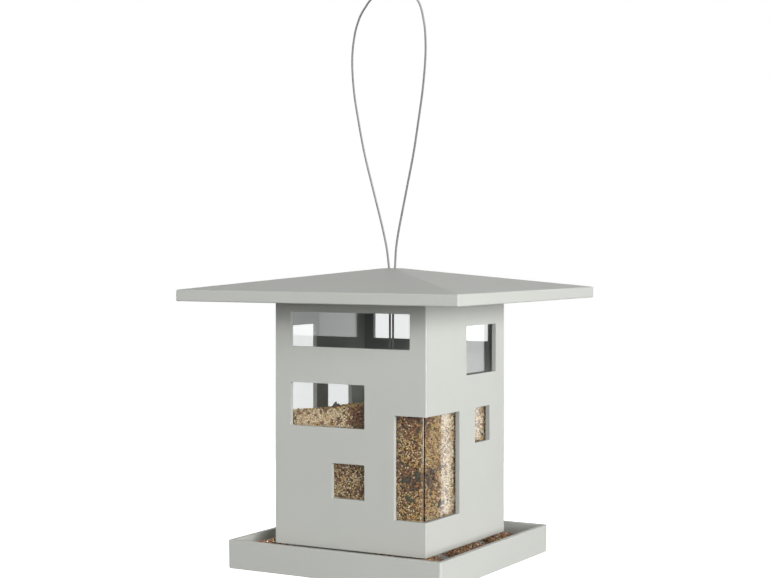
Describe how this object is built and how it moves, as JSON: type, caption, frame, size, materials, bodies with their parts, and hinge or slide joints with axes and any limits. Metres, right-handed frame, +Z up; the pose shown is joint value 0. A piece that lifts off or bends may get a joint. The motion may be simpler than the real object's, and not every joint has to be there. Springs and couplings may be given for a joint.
{
  "type": "bird feeder",
  "caption": "Hanging seed feeder: square pyramid roof that slides up its steel cable, windowed square house over a clear seed tank, and a shallow seed tray.",
  "frame": {"origin": "middle of the tray's flat underside, on the cable's axis", "axes": "+Z up along the cable; -Y is the face with the wide top window (left-front in the picture), +X the face with the tall corner window's longer half (right-front in the picture)"},
  "size_m": [0.301, 0.301, 0.562],
  "materials": {
    "warm_grey_plastic": "fine matt moulded plastic",
    "clear_plastic": "clear, polished",
    "steel": "bright drawn stainless steel",
    "seed_mix": "dry loose mixed seed"
  },
  "bodies": {
    "base": {"house_shell": "warm_grey_plastic", "seed_deflector": "warm_grey_plastic", "tray": "warm_grey_plastic", "seed_tank": "clear_plastic", "cable_loop": "steel", "cable_run_left": "steel", "cable_run_right": "steel", "anchor_washer": "steel", "ferrule": "steel", "house_screw_1": "steel", "house_screw_2": "steel", "house_screw_3": "steel", "house_screw_4": "steel", "seed_fill": "seed_mix", "tray_seed_front": "seed_mix", "tray_seed_right": "seed_mix", "tray_seed_back": "seed_mix", "tray_seed_left": "seed_mix"},
    "roof": {"roof": "warm_grey_plastic"}
  },
  "joints": [
    {"name": "roof_lift", "type": "slide", "parent": "base", "child": "roof", "axis": [0, 0, 1], "range_m": [0, 0.12], "deforming": ["cable_loop"]}
  ]
}
